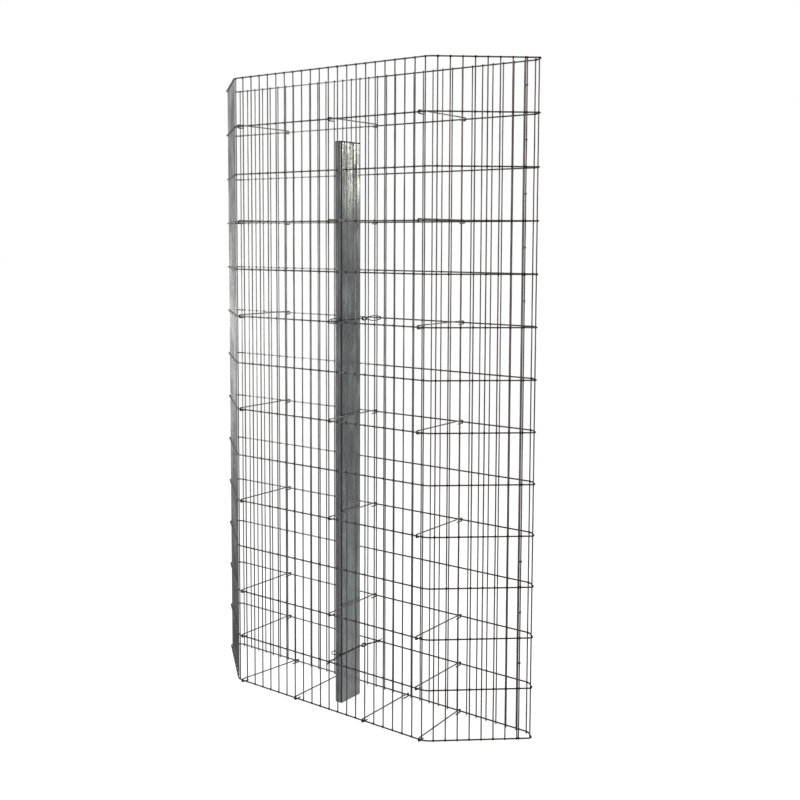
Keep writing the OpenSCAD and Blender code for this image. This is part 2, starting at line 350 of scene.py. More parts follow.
def zinc_coat_group():
    """Mottled zinc: a tone between dark and pale, its roughness and its relief."""
    tree, given, out = new_group(
        "ShaderNodeTree",
        "zinc_coat",
        [
            ("Vector", "NodeSocketVector", None),
            ("Flecks", "NodeSocketFloat", 300.0),
            ("Drifts", "NodeSocketFloat", 12.0),
            ("Dark", "NodeSocketColor", (0.05, 0.05, 0.05, 1.0)),
            ("Pale", "NodeSocketColor", (0.2, 0.2, 0.2, 1.0)),
            ("Smooth", "NodeSocketFloat", 0.3),
            ("Rough", "NodeSocketFloat", 0.6),
        ],
        [
            ("Color", "NodeSocketColor"),
            ("Roughness", "NodeSocketFloat"),
            ("Height", "NodeSocketFloat"),
        ],
    )
    place = given.outputs["Vector"]
    flecks = noise(tree, place, given.outputs["Flecks"])["Fac"]
    drifts = noise(tree, place, given.outputs["Drifts"], Detail=4.0)["Fac"]
    tone = spread(tree, weigh(tree, (flecks, 0.45), (drifts, 1.0)), 0.5, 0.95)
    color = mix_color(tree, tone, given.outputs["Dark"], given.outputs["Pale"])
    feeds = {"Value": tone, "To Min": given.outputs["Rough"], "To Max": given.outputs["Smooth"]}
    roughness = add(tree, "ShaderNodeMapRange", feeds).outputs["Result"]
    tree.links.new(color, out.inputs["Color"])
    tree.links.new(roughness, out.inputs["Roughness"])
    tree.links.new(flecks, out.inputs["Height"])
    return tree


def ground_darkening_group():
    """Darkens a colour towards the ground: Strength is the share of the darker tone at the foot."""
    tree, given, out = new_group(
        "ShaderNodeTree",
        "ground_darkening",
        [
            ("Color", "NodeSocketColor", (0.1, 0.1, 0.1, 1.0)),
            ("Low Tone", "NodeSocketColor", (0.02, 0.019, 0.018, 1.0)),
            ("Vector", "NodeSocketVector", None),
            ("Reach", "NodeSocketFloat", 1.0),
            ("Strength", "NodeSocketFloat", 0.4),
        ],
        [("Color", "NodeSocketColor")],
    )
    height = add(tree, "ShaderNodeSeparateXYZ", {0: given.outputs["Vector"]}).outputs["Z"]
    share = spread(tree, height, 0.0, given.outputs["Reach"], given.outputs["Strength"], 0.0)
    color = mix_color(tree, share, given.outputs["Color"], given.outputs["Low Tone"])
    tree.links.new(color, out.inputs["Color"])
    return tree


WELD_SCORCH = weld_scorch_group()
ZINC_COAT = zinc_coat_group()
GROUND_DARKENING = ground_darkening_group()


# Materials

def new_material(name, metallic, specular):
    material = bpy.data.materials.new(name)
    material.use_nodes = True
    shader = material.node_tree.nodes["Principled BSDF"]
    shader.inputs["Metallic"].default_value = metallic
    shader.inputs["Specular IOR Level"].default_value = specular
    return material, material.node_tree, shader


def object_place(tree):
    return add(tree, "ShaderNodeTexCoord").outputs["Object"]


def object_axis(tree, axis):
    return add(tree, "ShaderNodeSeparateXYZ", {0: object_place(tree)}).outputs[axis]


def bump_on(tree, shader, height, strength, distance):
    feeds = {"Height": height, "Strength": strength, "Distance": distance}
    bump = add(tree, "ShaderNodeBump", feeds)
    tree.links.new(bump.outputs["Normal"], shader.inputs["Normal"])


def zinc_on(tree, shader, dark, pale, flecks, drifts, smooth, rough):
    """Feeds a shader from the zinc coat, darker towards the ground; returns the colour."""
    place = object_place(tree)
    feeds = {
        "Vector": place,
        "Flecks": flecks,
        "Drifts": drifts,
        "Dark": opaque(dark),
        "Pale": opaque(pale),
        "Smooth": smooth,
        "Rough": rough,
    }
    coat = add(tree, "ShaderNodeGroup", feeds, node_tree=ZINC_COAT).outputs
    # The colour darkens towards the ground
    feeds = {
        "Color": coat["Color"],
        "Vector": place,
        "Reach": LOW_DARKENING_REACH,
        "Strength": LOW_DARKENING_STRENGTH,
    }
    color = add(tree, "ShaderNodeGroup", feeds, node_tree=GROUND_DARKENING).outputs["Color"]
    tree.links.new(color, shader.inputs["Base Color"])
    tree.links.new(coat["Roughness"], shader.inputs["Roughness"])
    bump_on(tree, shader, coat["Height"], strength=0.3, distance=0.0002)
    return color


def scorch_on(tree, shader, color, burnt, place, space, reach):
    """Darkens a wire at its welds."""
    feeds = {"Place": place, "Space": space, "Reach": reach}
    mask = add(tree, "ShaderNodeGroup", feeds, node_tree=WELD_SCORCH).outputs["Mask"]
    tree.links.new(mix_color(tree, mask, color, opaque(burnt)), shader.inputs["Base Color"])


def upright_wire(name, dark, pale, burnt):
    material, tree, shader = new_material(name, metallic=0.15, specular=0.12)
    color = zinc_on(tree, shader, dark, pale, flecks=420, drifts=9, smooth=0.42, rough=0.6)
    above = calc(tree, "SUBTRACT", object_axis(tree, "Z"), lowest_row)
    spaces = calc(tree, "DIVIDE", above, ROW_PITCH)
    scorch_on(tree, shader, color, burnt, spaces, ROW_PITCH, UPRIGHT_SCORCH)
    return material


def level_wire(name, dark, pale, burnt):
    material, tree, shader = new_material(name, metallic=0.15, specular=0.12)
    color = zinc_on(tree, shader, dark, pale, flecks=420, drifts=11, smooth=0.42, rough=0.65)
    place = add(tree, "ShaderNodeAttribute", attribute_name="mesh_place").outputs["Fac"]
    scorch_on(tree, shader, color, burnt, place, wire_step, LEVEL_SCORCH)
    return material


def weld_spot(name, dark, pale):
    material, tree, shader = new_material(name, metallic=0.1, specular=0.1)
    zinc_on(tree, shader, dark, pale, flecks=900, drifts=60, smooth=0.6, rough=0.85)
    return material


def spacer_wire():
    """Drawn wire, with painted shade at the front hook where it wraps the level wire."""
    material, tree, shader = new_material("spacer_wire_zinc", metallic=0.2, specular=0.15)
    dark, pale = (0.17, 0.167, 0.166), (0.33, 0.326, 0.324)
    color = zinc_on(tree, shader, dark, pale, flecks=420, drifts=14, smooth=0.36, rough=0.58)
    # Painted shade at the front hook
    hook = spread(tree, object_axis(tree, "Y"), *SPACER_HOOK_SHADE_Y)
    color = mix_color(tree, hook, color, (0.015, 0.015, 0.015, 1.0))
    tree.links.new(color, shader.inputs["Base Color"])
    return material


def seam_tie_wire():
    material, tree, shader = new_material("seam_tie_wire", metallic=0.2, specular=0.12)
    dark, pale = (0.1, 0.098, 0.097), (0.26, 0.256, 0.254)
    zinc_on(tree, shader, dark, pale, flecks=500, drifts=40, smooth=0.4, rough=0.65)
    return material


def post_tie_wire():
    """Tie wire, dark round the post, at the knot and at the mesh, paler between them."""
    material, tree, shader = new_material("post_tie_wire", metallic=0.2, specular=0.12)
    dark, pale = (0.012, 0.012, 0.012), (0.055, 0.054, 0.053)
    color = zinc_on(tree, shader, dark, pale, flecks=500, drifts=40, smooth=0.4, rough=0.65)
    across = object_axis(tree, "Y")
    at_back = spread(tree, across, *TIE_BACK_Y)
    at_front = spread(tree, across, *TIE_FRONT_Y)
    bent = spread(tree, calc(tree, "ABSOLUTE", across), *TIE_BEND_Y)
    free = calc(tree, "SUBTRACT", calc(tree, "MAXIMUM", at_back, at_front), bent)
    color = mix_color(tree, free, color, (0.075, 0.073, 0.068, 1.0))
    tree.links.new(color, shader.inputs["Base Color"])
    return material


def post_zinc():
    """Hot-dip zinc: spangles, runs, clouds and a stained foot, with a painted highlight low down
    and painted shade on the narrow sides and front bends.
    """
    material, tree, shader = new_material("post_zinc_spangle", metallic=0.5, specular=0.4)
    place = object_place(tree)
    sides = add(tree, "ShaderNodeSeparateXYZ", {0: place}).outputs

    # Patterns: small spangles, long runs of the zinc bath and broad clouds
    warp = noise(tree, place, 90.0, Detail=3.0)["Color"]
    bent = calc_vector(tree, "ADD", place, scale_vector(tree, warp, 0.008))
    spangle = add(tree, "ShaderNodeTexVoronoi", {"Vector": bent, "Scale": 210.0}).outputs
    spangle_tone = add(tree, "ShaderNodeSeparateColor", {0: spangle["Color"]}).outputs["Red"]
    run_place = calc_vector(tree, "MULTIPLY", place, (1.0, 1.0, 0.05))
    runs = noise(tree, run_place, 110.0, Detail=3.0)["Fac"]
    cloud_place = calc_vector(tree, "MULTIPLY", place, (1.0, 1.0, 0.4))
    clouds = noise(tree, cloud_place, 24.0, Detail=6.0, Roughness=0.6)["Fac"]

    # Colour, from the zinc's own tones and the stain the weather left to painted highlight and
    # painted shade
    tone = weigh(tree, (spangle_tone, 0.22), (runs, 0.5), (clouds, 0.6))
    shade = spread(tree, tone, 0.4, 0.95)
    color = mix_color(tree, shade, (0.098, 0.11, 0.114, 1.0), (0.205, 0.228, 0.236, 1.0))
    patches = spread(tree, clouds, 0.52, 0.7, 0.0, 0.6)
    color = mix_color(tree, patches, color, (0.29, 0.33, 0.34, 1.0))
    # Painted highlight: pale streaks along the runs brighten the post's lower part
    low_highlight = calc(tree, "MULTIPLY", spread(tree, sides["Z"], *LOW_HIGHLIGHT_HEIGHTS, 1.0, 0.0), runs)
    color = mix_color(tree, low_highlight, color, (0.35, 0.383, 0.39, 1.0))
    stain = calc(tree, "MULTIPLY", spread(tree, sides["Z"], 0.0, STAIN_HEIGHT, 0.4, 0.0), runs)
    color = mix_color(tree, stain, color, (0.115, 0.106, 0.088, 1.0))
    # Painted shade darkens the narrow sides
    side_from, side_to = (POST_HIGH.y - depth for depth in NARROW_SHADE_IN)
    narrow_shade = spread(tree, calc(tree, "ABSOLUTE", sides["Y"]), side_from, side_to, 0.0, 0.45)
    color = mix_color(tree, narrow_shade, color, (0.045, 0.042, 0.036, 1.0))
    # Painted shade darkens the post's two front bends
    off_middle = calc(tree, "ABSOLUTE", calc(tree, "SUBTRACT", sides["X"], POST_MIDDLE.x))
    bend_shade_from, bend_shade_to = (POST_HIGH.x - POST_MIDDLE.x - depth for depth in POST_BEND_SHADE_IN)
    front_from, front_to = (POST_LOW.y + depth for depth in POST_BEND_SHADE_IN)
    at_side = spread(tree, off_middle, bend_shade_from, bend_shade_to)
    bend = calc(tree, "MULTIPLY", at_side, spread(tree, sides["Y"], front_from, front_to))
    color = mix_color(tree, bend, color, (0.02, 0.022, 0.022, 1.0))
    tree.links.new(color, shader.inputs["Base Color"])

    # Gloss and relief follow the runs, with a little of the spangles
    gloss = weigh(tree, (spangle_tone, 0.1), (runs, 1.0))
    tree.links.new(spread(tree, gloss, 0.4, 0.68, 0.38, 0.18), shader.inputs["Roughness"])
    relief = weigh(tree, (spangle["Distance"], 0.09), (runs, 0.8))
    bump_on(tree, shader, relief, strength=0.2, distance=0.0006)
    return material


def cap_plastic():
    """Black moulded plastic with a fine grain and paler rubbed spots."""
    material, tree, shader = new_material("cap_plastic_grain", metallic=0.0, specular=0.1)
    place = object_place(tree)
    grain = noise(tree, place, 900.0, Detail=2.0)["Fac"]
    rubs = noise(tree, place, 70.0, Detail=5.0)["Fac"]
    worn = spread(tree, rubs, 0.45, 0.75)
    color = mix_color(tree, worn, (0.006, 0.006, 0.0065, 1.0), (0.022, 0.022, 0.023, 1.0))
    tree.links.new(color, shader.inputs["Base Color"])
    tree.links.new(spread(tree, grain, 0.2, 0.8, 0.6, 0.8), shader.inputs["Roughness"])
    bump_on(tree, shader, grain, strength=0.15, distance=0.0002)
    return material


# Wires and welds of each face of the cage, as lit and shaded copies of one zinc: painted light
# makes the uprights paler at the back and palest on the left, with pale level wires on the left,
# and painted shade makes the right face darker and warmer
BURNT = (0.014, 0.0125, 0.0125)
# Paler scorch and the faint weld, for the faces with painted light
LIT_FAINT_BURNT = (0.07, 0.068, 0.068)
LIT_PALE_BURNT = (0.13, 0.128, 0.128)
DARK_WELD = weld_spot("weld_spot", (0.008, 0.0075, 0.0075), (0.025, 0.024, 0.023))
FAINT_WELD = weld_spot("weld_spot_back", (0.04, 0.039, 0.039), (0.09, 0.088, 0.088))


def face_wires(face, upright, level, burnt, weld, weld_r):
    """What the mesh of one face is made with; its wires have a dark and a pale tone."""
    return {
        "Upright Material": upright_wire("upright_wire" + face, *upright, burnt),
        "Level Material": level_wire("level_wire" + face, *level, burnt),
        "Weld Material": weld,
        "Weld Radius": weld_r,
    }


# Painted shade: the right face's wires are darker and warmer
RIGHT_SHADED_WIRES = face_wires(
    "_right",
    ((0.105, 0.084, 0.085), (0.21, 0.173, 0.174)),
    ((0.064, 0.049, 0.05), (0.135, 0.105, 0.107)),
    BURNT,
    DARK_WELD,
    WELD_R,
)
FRONT_WIRES = face_wires(
    "",
    ((0.095, 0.093, 0.093), (0.2, 0.197, 0.197)),
    ((0.05, 0.049, 0.049), (0.11, 0.108, 0.108)),
    BURNT,
    DARK_WELD,
    WELD_R,
)
# Painted light: paler uprights at the back, with faint welds and scorch
BACK_LIT_WIRES = face_wires(
    "_back",
    ((0.12, 0.118, 0.118), (0.27, 0.267, 0.266)),
    ((0.042, 0.041, 0.041), (0.105, 0.103, 0.103)),
    LIT_FAINT_BURNT,
    FAINT_WELD,
    FAINT_WELD_R,
)
# Painted light: the palest uprights and pale level wires on the left, with faint welds and pale
# scorch
LEFT_LIT_WIRES = face_wires(
    "_left",
    ((0.15, 0.152, 0.15), (0.3, 0.304, 0.3)),
    ((0.2, 0.2, 0.2), (0.4, 0.4, 0.4)),
    LIT_PALE_BURNT,
    FAINT_WELD,
    FAINT_WELD_R,
)
# The left end has the left face's painted light, with the back's level wires
LEFT_END_LIT_WIRES = {**LEFT_LIT_WIRES, "Level Material": BACK_LIT_WIRES["Level Material"]}
SPACER_ZINC = spacer_wire()
POST_TIE_ZINC = post_tie_wire()
SEAM_TIE_ZINC = seam_tie_wire()
POST_ZINC = post_zinc()
CAP_PLASTIC = cap_plastic()


# Geometry node trees

def finish_branch(tree, geometry, material):
    """The end of each branch: smooth, made real and given its material."""
    smooth = add(tree, "GeometryNodeSetShadeSmooth", {"Geometry": geometry})
    real = add(tree, "GeometryNodeRealizeInstances", {"Geometry": smooth.outputs["Geometry"]})
    feeds = {"Geometry": real.outputs["Geometry"], "Material": material}
    return add(tree, "GeometryNodeSetMaterial", feeds).outputs["Geometry"]


def tube(tree, curve, diameter):
    radius = calc(tree, "DIVIDE", diameter, 2.0)
    feeds = {"Resolution": WIRE_SIDES, "Radius": radius}
    profile = add(tree, "GeometryNodeCurvePrimitiveCircle", feeds)
    feeds = {"Curve": curve, "Profile Curve": profile.outputs["Curve"], "Fill Caps": True}
    return add(tree, "GeometryNodeCurveToMesh", feeds).outputs["Mesh"]


def move(tree, geometry, offset):
    feeds = {"Geometry": geometry, "Offset": offset}
    return add(tree, "GeometryNodeSetPosition", feeds).outputs["Geometry"]


def put_on(tree, points, instance, **more):
    """Instances on points, made real so that the next node sees each of them."""
    feeds = {"Points": points, "Instance": instance, **more}
    instances = add(tree, "GeometryNodeInstanceOnPoints", feeds).outputs["Instances"]
    return add(tree, "GeometryNodeRealizeInstances", {"Geometry": instances}).outputs["Geometry"]


def store(tree, geometry, name, kind, value):
    feeds = {"Geometry": geometry, "Name": name, "Value": value}
    node = add(tree, "GeometryNodeStoreNamedAttribute", feeds, data_type=kind, domain="POINT")
    return node.outputs["Geometry"]


def upward(tree, height):
    return add(tree, "ShaderNodeCombineXYZ", {"Z": height}).outputs["Vector"]


def welded_mesh_tree():
    """Round wires along a plan path: level ones outside upright ones, welded at each crossing."""
    tree, given, out = new_group(
        "GeometryNodeTree",
        "welded_mesh",
        [
            ("Geometry", "NodeSocketGeometry", None),
            ("Upright Diameter", "NodeSocketFloat", UPRIGHT_D),
            ("Level Diameter", "NodeSocketFloat", LEVEL_D),
            ("Level Offset", "NodeSocketFloat", level_offset),
            ("Rows", "NodeSocketInt", ROW_SPACES + 1),
            ("Row Pitch", "NodeSocketFloat", ROW_PITCH),
            ("Lowest Row", "NodeSocketFloat", lowest_row),
            ("Foot Stub", "NodeSocketFloat", FOOT_STUB),
            ("Wire Length", "NodeSocketFloat", wire_length),
            ("First Wire", "NodeSocketFloat", 0.0),
            ("Wire Step", "NodeSocketFloat", wire_step),
            ("Wires", "NodeSocketInt", 1),
            ("Bow", "NodeSocketFloat", WIRE_BOW),
            ("Weld Radius", "NodeSocketFloat", WELD_R),
            ("Seed", "NodeSocketInt", WIRE_SEED),
            ("Upright Material", "NodeSocketMaterial", None),
            ("Level Material", "NodeSocketMaterial", None),
            ("Weld Material", "NodeSocketMaterial", None),
        ],
        [("Geometry", "NodeSocketGeometry")],
    )
    size = given.outputs
    path = add(tree, "GeometryNodeMeshToCurve", {"Mesh": size["Geometry"]}).outputs["Curve"]
    up = (0.0, 0.0, 1.0)

    # Level wires, each carrying its place in spaces of the mesh
    length = add(tree, "GeometryNodeSplineParameter").outputs["Length"]
    past_first = calc(tree, "SUBTRACT", length, size["First Wire"])
    spaces = calc(tree, "DIVIDE", past_first, size["Wire Step"])
    marked = store(tree, path, "mesh_place", "FLOAT", spaces)
    tangent = add(tree, "GeometryNodeInputTangent").outputs["Tangent"]
    away = calc_vector(tree, "CROSS_PRODUCT", tangent, up)
    level = move(tree, marked, scale_vector(tree, away, size["Level Offset"]))
    feeds = {
        "Count": size["Rows"],
        "Start Location": upward(tree, size["Lowest Row"]),
        "Offset": upward(tree, size["Row Pitch"]),
    }
    rows = add(tree, "GeometryNodeMeshLine", feeds).outputs["Mesh"]
    levels = tube(tree, put_on(tree, rows, level), size["Level Diameter"])
    levels = finish_branch(tree, levels, size["Level Material"])

    # Feet of the upright wires along the path
    number = add(tree, "GeometryNodeInputIndex").outputs["Index"]
    place = calc(tree, "MULTIPLY", number, size["Wire Step"])
    place = calc(tree, "ADD", place, size["First Wire"])
    sample = add(tree, "GeometryNodeSampleCurve", {"Curves": path, "Length": place}, mode="LENGTH")
    feeds = {"Count": size["Wires"], "Offset": (0.0, 0.0, 0.0)}
    points = add(tree, "GeometryNodeMeshLine", feeds).outputs["Mesh"]
    points = store(tree, points, "along", "FLOAT_VECTOR", sample.outputs["Tangent"])
    feeds = {"Geometry": points, "Position": sample.outputs["Position"]}
    feet = add(tree, "GeometryNodeSetPosition", feeds).outputs["Geometry"]

    # Upright wires, bowed a little between the welds
    start = calc(tree, "SUBTRACT", size["Lowest Row"], size["Foot Stub"])
    end = calc(tree, "ADD", start, size["Wire Length"])
    feeds = {"Start": upward(tree, start), "End": upward(tree, end)}
    line = add(tree, "GeometryNodeCurvePrimitiveLine", feeds).outputs["Curve"]
    count = calc(tree, "MULTIPLY", size["Rows"], float(BENDS_PER_SPACE))
    line = add(tree, "GeometryNodeResampleCurve", {"Curve": line, "Count": count}).outputs["Curve"]
    uprights = put_on(tree, feet, line)
    position = add(tree, "GeometryNodeInputPosition").outputs["Position"]
    feeds = {"Vector": position, "W": size["Seed"], "Scale": BOW_WAVES}
    waves = add(tree, "ShaderNodeTexNoise", feeds, noise_dimensions="4D")
    sway = calc_vector(tree, "SUBTRACT", waves.outputs["Color"], (0.5, 0.5, 0.5))
    sway = calc_vector(tree, "MULTIPLY", sway, (2.0, 2.0, 0.0))
    height = add(tree, "ShaderNodeSeparateXYZ", {0: position}).outputs["Z"]
    above = calc(tree, "SUBTRACT", height, size["Lowest Row"])
    turn = calc(tree, "DIVIDE", above, size["Row Pitch"])
    free = calc(tree, "POWER", calc(tree, "SINE", calc(tree, "MULTIPLY", turn, math.pi)), 2.0)
    bow = calc(tree, "MULTIPLY", free, size["Bow"])
    uprights = move(tree, uprights, scale_vector(tree, sway, bow))
    uprights = tube(tree, uprights, size["Upright Diameter"])
    uprights = finish_branch(tree, uprights, size["Upright Material"])

    # Welds, squeezed out between the two wires of a crossing
    feeds = {"Name": "along"}
    along = add(tree, "GeometryNodeInputNamedAttribute", feeds, data_type="FLOAT_VECTOR")
    along = along.outputs["Attribute"]
    side = calc_vector(tree, "CROSS_PRODUCT", along, up)
    side = scale_vector(tree, side, calc(tree, "DIVIDE", size["Level Offset"], 2.0))
    crossings = move(tree, put_on(tree, rows, feet), side)
    feeds = {"Segments": WELD_SEGMENTS, "Rings": WELD_RINGS, "Radius": size["Weld Radius"]}
    bead = add(tree, "GeometryNodeMeshUVSphere", feeds).outputs["Mesh"]
    feeds = {"Geometry": bead, "Scale": WELD_SQUEEZE}
    bead = add(tree, "GeometryNodeTransform", feeds).outputs["Geometry"]
    face = add(tree, "FunctionNodeAlignRotationToVector", {"Vector": along}, axis="X")
    feeds = {2: WELD_SWELL[0], 3: WELD_SWELL[1], "Seed": size["Seed"]}
    swell = add(tree, "FunctionNodeRandomValue", feeds, data_type="FLOAT").outputs[1]
    beads = put_on(tree, crossings, bead, Rotation=face.outputs["Rotation"], Scale=swell)
    beads = finish_branch(tree, beads, size["Weld Material"])

    joined = tree.nodes.new("GeometryNodeJoinGeometry")
    for branch in (levels, uprights, beads):
        tree.links.new(branch, joined.inputs["Geometry"])
    tree.links.new(joined.outputs["Geometry"], out.inputs["Geometry"])
    return tree


def bent_wire_tree():
    """A round wire along a path."""
    tree, given, out = new_group(
        "GeometryNodeTree",
        "bent_wire",
        [
            ("Geometry", "NodeSocketGeometry", None),
            ("Diameter", "NodeSocketFloat", POST_TIE_D),
            ("Material", "NodeSocketMaterial", None),
        ],
        [("Geometry", "NodeSocketGeometry")],
    )
    size = given.outputs
    path = add(tree, "GeometryNodeMeshToCurve", {"Mesh": size["Geometry"]}).outputs["Curve"]
    wire = finish_branch(tree, tube(tree, path, size["Diameter"]), size["Material"])
    tree.links.new(wire, out.inputs["Geometry"])
    return tree


WELDED_MESH = welded_mesh_tree()
BENT_WIRE = bent_wire_tree()


def path_object(name, paths):
    """An object whose mesh is one chain of edges for each path."""
    points = []
    edges = []
    for path in paths:
        start = len(points)
        points.extend(path)
        edges.extend((start + n, start + n + 1) for n in range(len(path) - 1))
    mesh = bpy.data.meshes.new(name)
    mesh.from_pydata([tuple(p) for p in points], edges, [])
    piece = bpy.data.objects.new(name, mesh)
    bpy.context.scene.collection.objects.link(piece)
    return piece


def grow(piece, tree, values):
    """Runs a geometry tree on a piece and keeps the result as its plain mesh."""
    modifier = piece.modifiers.new(tree.name, "NODES")
    modifier.node_group = tree
    for item in tree.interface.items_tree:
        if item.item_type == "SOCKET" and item.in_out == "INPUT" and item.name in values:
            modifier[item.identifier] = values[item.name]
    depsgraph = bpy.context.evaluated_depsgraph_get()
    mesh = bpy.data.meshes.new_from_object(piece.evaluated_get(depsgraph), depsgraph=depsgraph)
    piece.modifiers.remove(modifier)
    piece.data = mesh


# Mesh panels

def mesh_panel(node, start, end, wires):
    """The wires of one panel of the strip, in place of its plain bars."""
    path = [Vector((p.x, p.y, 0.0)) for p in strip_path(start, end)]
    piece = path_object(node + "_wires", [path])
    first = math.ceil((start - first_wire) / wire_step)
    last = math.floor((end - first_wire) / wire_step)
    values = {
        "First Wire": first_wire + first * wire_step - start,
        "Wires": last - first + 1,
        **wires,
    }
    grow(piece, WELDED_MESH, values)
    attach(piece, "root")
    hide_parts(node)


right_back_end = gap_after(fold_ends[1])
back_middle = gap_before((flat_starts[2] + fold_starts[2]) / 2)
left_back_start = gap_before(fold_starts[2])
left_back_end = gap_after(fold_ends[3])
left_fold_start = gap_before(fold_starts[4])
left_fold_end = gap_after(fold_ends[4])
right_fold_start = gap_before(fold_starts[5])
right_fold_end = gap_after(fold_ends[5])

mesh_panel("right_back_corner", first_wire - seam_stub, right_back_end, RIGHT_SHADED_WIRES)
mesh_panel("back_mesh_right", right_back_end, back_middle, BACK_LIT_WIRES)
mesh_panel("back_mesh_left", back_middle, left_back_start, LEFT_LIT_WIRES)
mesh_panel("left_back_corner", left_back_start, left_back_end, LEFT_END_LIT_WIRES)
mesh_panel("left_end_mesh", left_back_end, left_fold_start, LEFT_END_LIT_WIRES)
mesh_panel("left_front_fold", left_fold_start, left_fold_end, FRONT_WIRES)
mesh_panel("front_mesh", left_fold_end, right_fold_start, FRONT_WIRES)
mesh_panel("right_front_fold", right_fold_start, right_fold_end, RIGHT_SHADED_WIRES)
mesh_panel("right_end_mesh", right_fold_end, last_wire + seam_stub, RIGHT_SHADED_WIRES)


# Bent wire ties

def bent_piece(node, paths, diameter, material):
    """Bent wire in place of a tie's plain solid."""
    piece = path_object(node + "_wire", paths)
    grow(piece, BENT_WIRE, {"Diameter": diameter, "Material": material})
    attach(piece, "root")
    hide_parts(node)


def hairpin(start, wrap, toward, bow, turns):
    """One wire from a point over a level wire along X and back, its strands bowed or twisted."""
    radius = hook_r(POST_TIE_D)
    closed = POST_TIE_D / 2
    along = wrap - start
    side = Vector((-along.y, along.x, 0.0)).normalized()
    up = Vector((0.0, 0.0, 1.0))
    strands = []
    for sign in (1, -1):
        strand = []
        for step in range(HAIRPIN_STEPS + 1):
            share = step / HAIRPIN_STEPS
            apart = closed + (radius - closed) * share ** 4 + bow * math.sin(math.pi * share)
            angle = 2 * math.pi * turns * (1 - share)
            swing = math.cos(angle) * up + math.sin(angle) * side
            strand.append(start + along * share + sign * apart * swing)
        strands.append(strand)
    bend = []
    for step in range(1, HOOK_STEPS):
        angle = math.pi * (0.5 - step / HOOK_STEPS)
        swing = Vector((0.0, toward * math.cos(angle), math.sin(angle)))
        bend.append(wrap + radius * swing)
    return strands[0] + bend + strands[1][::-1]


def free_end(wrap, toward):
    """The wire's end that stands off its bend over a level wire."""
    hook = Vector((0.0, hook_r(POST_TIE_D), 0.0))
    foot = hook + Vector((FREE_END_FOOT, 0.0, 0.0))
    return [wrap + toward * foot, wrap + toward * (hook + FREE_END_REACH)]


def post_ring(height):
    """A loop round the post, loose at its left front corner."""
    radius = POST_BEND_R + POST_TIE_D / 2 + HOOK_CLEARANCE
    points = []
    for quarter, (to_right, to_back) in enumerate(((1, -1), (1, 1), (-1, 1), (-1, -1))):
        x = POST_MIDDLE.x + to_right * (POST_HIGH.x - POST_MIDDLE.x - POST_BEND_R)
        y = POST_MIDDLE.y + to_back * (POST_HIGH.y - POST_MIDDLE.y - POST_BEND_R)
        loose = quarter == 3
        for step in range(RING_CORNER_STEPS + 1):
            share = step / RING_CORNER_STEPS
            angle = math.radians(90 * (quarter - 1 + share))
            reach = radius + loose * LOOSE_REACH * math.sin(math.pi * share)
            lift = height + loose * LOOSE_LIFT * math.cos(math.pi * share)
            points.append(Vector((x + reach * math.cos(angle), y + reach * math.sin(angle), lift)))
    points.append(points[0] + Vector((0.0, -POST_TIE_D, POST_TIE_D)))
    return points


def knot(centre, along):
    """Two close upright turns in the line of a hairpin, one inside the other, pulled long."""
    first, last = KNOT_WIDENS
    points = []
    for step in range(2 * KNOT_TURN_STEPS + 1):
        angle = 2 * math.pi * step / KNOT_TURN_STEPS
        tight = POST_TIE_D * min(max((last - step) / (last - first), 0.0), 1.0)
        lift = Vector((0.0, 0.0, (KNOT_R - tight) * math.sin(angle)))
        points.append(centre + along * ((KNOT_REACH - tight) * math.cos(angle)) + lift)
    return points


def post_tie(node, row, bow, turns):
    """The ring round the post, a hairpin from it to the front and one to the back, with a knot."""
    height = row_height(row)
    paths = [post_ring(height)]
    for toward, hook_x in ((-1, POST_TIE_FRONT_X), (1, POST_TIE_BACK_X)):
        corner = Vector((POST_HIGH.x, toward * POST_HIGH.y, height))
        wrap = Vector((hook_x, toward * level_y, height))
        along = (wrap - corner).normalized()
        start = corner + along * POST_TIE_D
        if toward > 0:
            paths.append(knot(start + along * KNOT_REACH, along))
            start += along * 2 * KNOT_REACH
        paths.append(hairpin(start, wrap, toward, bow, turns))
        if turns:
            paths.append(free_end(wrap, toward))
    bent_piece(node, paths, POST_TIE_D, POST_TIE_ZINC)


def seam_coil(space):
    """A few close turns of thin wire round the two upright wires at the seam."""
    radius = UPRIGHT_D / 2 + HOOK_CLEARANCE + SEAM_COIL_D / 2
    along = heading(END_ANGLE)
    side = outward(END_ANGLE)
    first = strip_point(last_wire)
    middle = row_height(space) - ROW_PITCH / 2
    points = []
    for half_turn in range(2 * SEAM_COIL_TURNS):
        far = half_turn % 2
        centre = first + along * (seam_gap * far)
        face = 1 if far else -1
        for step in range(SEAM_COIL_STEPS + 1):
            angle = math.pi * step / SEAM_COIL_STEPS
            swing = face * (math.cos(angle) * side + math.sin(angle) * along)
            turns = (half_turn + step / (SEAM_COIL_STEPS + 1)) / 2
            lift = middle + SEAM_COIL_D * (turns - SEAM_COIL_TURNS / 2)
            points.append((centre + radius * swing).to_3d() + Vector((0.0, 0.0, lift)))
    bent_piece("seam_tie_space_" + str(space + 1), [points], SEAM_COIL_D, SEAM_TIE_ZINC)


for tie in POST_TIES:
    post_tie(*tie)
for space in SEAM_TIE_SPACES:
    seam_coil(space)


# Finishes of the pieces that keep their solids

def finish_node(node, material):
    slots = nodes[node].data.materials
    slots.clear()
    slots.append(material)


for node in nodes:
    if node.startswith("spacer_"):
        finish_node(node, SPACER_ZINC)
finish_node("post", POST_ZINC)
finish_node("post_cap", CAP_PLASTIC)


# Stage, light and camera

SOFT_LIGHT = 0.52
FLOOR_TONE = 0.35
FLOOR_WHITE = 1.02
FLOOR_HALF = 60.0


def seen_directly(tree):
    """1 for what the camera sees itself, or in metal and glass."""
    light_path = add(tree, "ShaderNodeLightPath").outputs
    seen = calc(tree, "MAXIMUM", light_path["Is Camera Ray"], light_path["Is Glossy Ray"])
    return calc(tree, "MAXIMUM", seen, light_path["Is Transmission Ray"])


